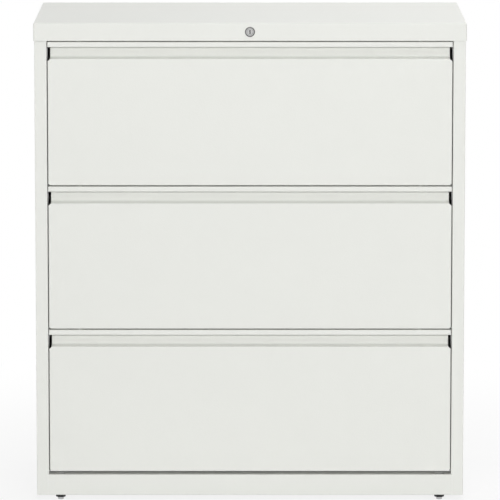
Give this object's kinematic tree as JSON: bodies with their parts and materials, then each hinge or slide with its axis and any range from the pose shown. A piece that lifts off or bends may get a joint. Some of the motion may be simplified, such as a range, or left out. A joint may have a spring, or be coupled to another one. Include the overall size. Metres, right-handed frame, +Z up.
{
  "type": "lateral filing cabinet",
  "caption": "Wide sheet-steel lateral filing cabinet with full-width drawers on telescopic slides, finger-recess pulls, a central cam lock in the top fascia and levelling glides.",
  "frame": {"origin": "on the floor, under the middle of the cabinet's width and depth", "axes": "+Z up, +X to the right as one faces the drawers, and the drawers open towards -Y"},
  "size_m": [0.9144, 0.4748, 1.0236],
  "materials": {
    "paint": "fine off-white powder coat, satin",
    "zinc": "zinc-plated rolled steel",
    "lock_metal": "satin nickel-chrome",
    "black_steel": "black oxide"
  },
  "bodies": {
    "cabinet": {"top_cap": "paint", "side_panel_left": "paint", "side_panel_right": "paint", "back_panel": "paint", "base_front_rail": "paint", "base_rear_rail": "paint", "upright_front_left": "zinc", "upright_front_right": "zinc", "upright_rear_left": "zinc", "upright_rear_right": "zinc", "top_slide_outer_left": "zinc", "top_slide_outer_right": "zinc", "middle_slide_outer_left": "zinc", "middle_slide_outer_right": "zinc", "bottom_slide_outer_left": "zinc", "bottom_slide_outer_right": "zinc", "lock_barrel": "lock_metal", "lock_guide_upper": "zinc", "lock_guide_lower": "zinc"},
    "top_drawer": {"top_drawer_front": "paint", "top_inner_front": "paint", "top_tub": "paint", "top_tub_back": "paint", "top_hang_rail_front": "zinc", "top_hang_rail_rear": "zinc", "top_lock_catch": "zinc", "top_slide_inner_left": "zinc", "top_slide_inner_right": "zinc"},
    "middle_drawer": {"middle_drawer_front": "paint", "middle_inner_front": "paint", "middle_tub": "paint", "middle_tub_back": "paint", "middle_hang_rail_front": "zinc", "middle_hang_rail_rear": "zinc", "middle_lock_catch": "zinc", "middle_slide_inner_left": "zinc", "middle_slide_inner_right": "zinc"},
    "bottom_drawer": {"bottom_drawer_front": "paint", "bottom_inner_front": "paint", "bottom_tub": "paint", "bottom_tub_back": "paint", "bottom_hang_rail_front": "zinc", "bottom_hang_rail_rear": "zinc", "bottom_lock_catch": "zinc", "bottom_slide_inner_left": "zinc", "bottom_slide_inner_right": "zinc"},
    "top_slides": {"top_slide_mid_left": "zinc", "top_slide_mid_right": "zinc"},
    "middle_slides": {"middle_slide_mid_left": "zinc", "middle_slide_mid_right": "zinc"},
    "bottom_slides": {"bottom_slide_mid_left": "zinc", "bottom_slide_mid_right": "zinc"},
    "lock_core": {"lock_plug": "lock_metal", "lock_cam": "zinc"},
    "lock_link": {"lock_link": "zinc"},
    "lock_bar": {"lock_bar": "zinc"},
    "glide_front_left": {"glide_front_left": "black_steel"},
    "glide_front_right": {"glide_front_right": "black_steel"},
    "glide_rear_left": {"glide_rear_left": "black_steel"},
    "glide_rear_right": {"glide_rear_right": "black_steel"}
  },
  "joints": [
    {"name": "top_drawer", "type": "slide", "parent": "cabinet", "child": "top_drawer", "axis": [0, -1, 0], "range_m": [0, 0.375]},
    {"name": "middle_drawer", "type": "slide", "parent": "cabinet", "child": "middle_drawer", "axis": [0, -1, 0], "range_m": [0, 0.375]},
    {"name": "bottom_drawer", "type": "slide", "parent": "cabinet", "child": "bottom_drawer", "axis": [0, -1, 0], "range_m": [0, 0.375]},
    {"name": "top_slides", "type": "slide", "parent": "cabinet", "child": "top_slides", "axis": [0, -1, 0], "range_m": [0, 0.1875]},
    {"name": "middle_slides", "type": "slide", "parent": "cabinet", "child": "middle_slides", "axis": [0, -1, 0], "range_m": [0, 0.1875]},
    {"name": "bottom_slides", "type": "slide", "parent": "cabinet", "child": "bottom_slides", "axis": [0, -1, 0], "range_m": [0, 0.1875]},
    {"name": "lock_bar", "type": "slide", "parent": "cabinet", "child": "lock_bar", "axis": [0, 0, 1], "range_m": [0, 0.0127]},
    {"name": "lock_link", "type": "slide", "parent": "cabinet", "child": "lock_link", "axis": [-1, 0, 0], "range_m": [0, 0.0127]},
    {"name": "lock_turn", "type": "hinge", "parent": "cabinet", "child": "lock_core", "pos_m": [0, -0.2363, 1.0052], "axis": [0, 1, 0], "range_deg": [0, 90]},
    {"name": "glide_front_left", "type": "hinge", "parent": "cabinet", "child": "glide_front_left", "pos_m": [-0.405, -0.221, 0], "axis": [0, 0, 1], "continuous": true},
    {"name": "glide_front_right", "type": "hinge", "parent": "cabinet", "child": "glide_front_right", "pos_m": [0.405, -0.221, 0], "axis": [0, 0, 1], "continuous": true},
    {"name": "glide_rear_left", "type": "hinge", "parent": "cabinet", "child": "glide_rear_left", "pos_m": [-0.405, 0.2184, 0], "axis": [0, 0, 1], "continuous": true},
    {"name": "glide_rear_right", "type": "hinge", "parent": "cabinet", "child": "glide_rear_right", "pos_m": [0.405, 0.2184, 0], "axis": [0, 0, 1], "continuous": true}
  ],
  "couplings": [
    {"joint": "top_slides", "follows": "top_drawer", "ratio": 0.5},
    {"joint": "middle_slides", "follows": "middle_drawer", "ratio": 0.5},
    {"joint": "bottom_slides", "follows": "bottom_drawer", "ratio": 0.5},
    {"joint": "lock_link", "follows": "lock_bar", "ratio": 1},
    {"joint": "lock_turn", "follows": "lock_bar", "rad_per_m": 123.41}
  ]
}
